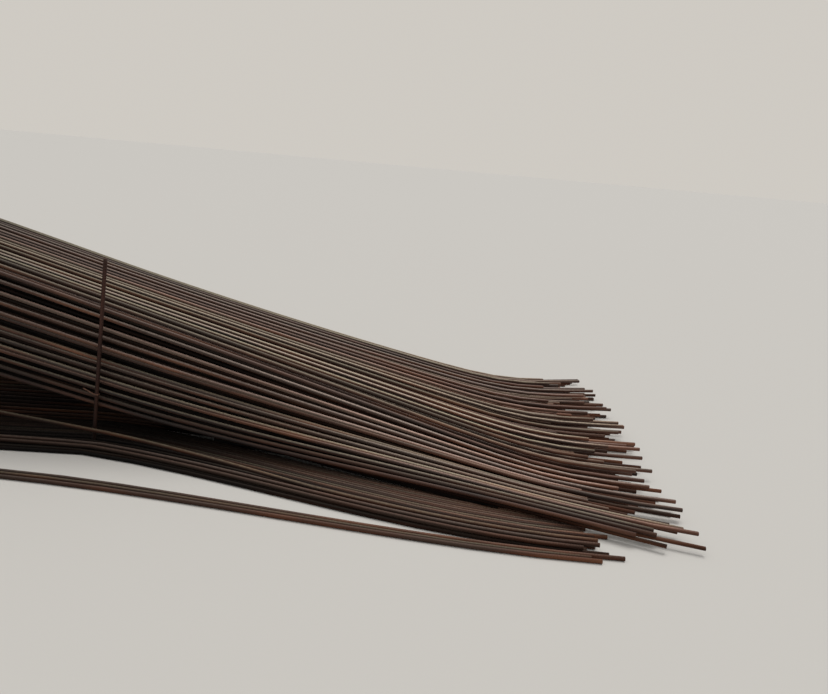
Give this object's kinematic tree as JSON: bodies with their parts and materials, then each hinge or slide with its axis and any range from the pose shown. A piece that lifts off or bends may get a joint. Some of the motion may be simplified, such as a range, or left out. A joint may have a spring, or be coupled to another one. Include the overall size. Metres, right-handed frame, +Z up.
{
  "type": "rebar bundle",
  "caption": "Stack of rusty straight rebar that slopes down from a level heap to a fanned toe on the ground, with an upright stake and wire tie at its front.",
  "frame": {"origin": "middle of the stack's footprint, on the floor", "axes": "+X along the bars towards their fanned toe, +Y across the stack towards its back face, +Z up"},
  "size_m": [12.5266, 2.8026, 1.2569],
  "materials": {
    "rusted_bar": "rusted hot rolled",
    "dark_bar": "rusted, in deep shade",
    "stake_steel": "heavily rusted",
    "tie_steel": "rusted annealed wire"
  },
  "bodies": {
    "root": {"core": "dark_bar", "front_face_bars": "rusted_bar", "top_bars": "rusted_bar", "inner_bars": "rusted_bar", "loose_bars": "rusted_bar", "ground_bars": "rusted_bar", "back_bars": "rusted_bar", "lower_front_bars": "dark_bar", "apron_bars": "dark_bar", "recess_bars": "dark_bar", "stake": "stake_steel", "tie_wire": "tie_steel"}
  },
  "joints": []
}
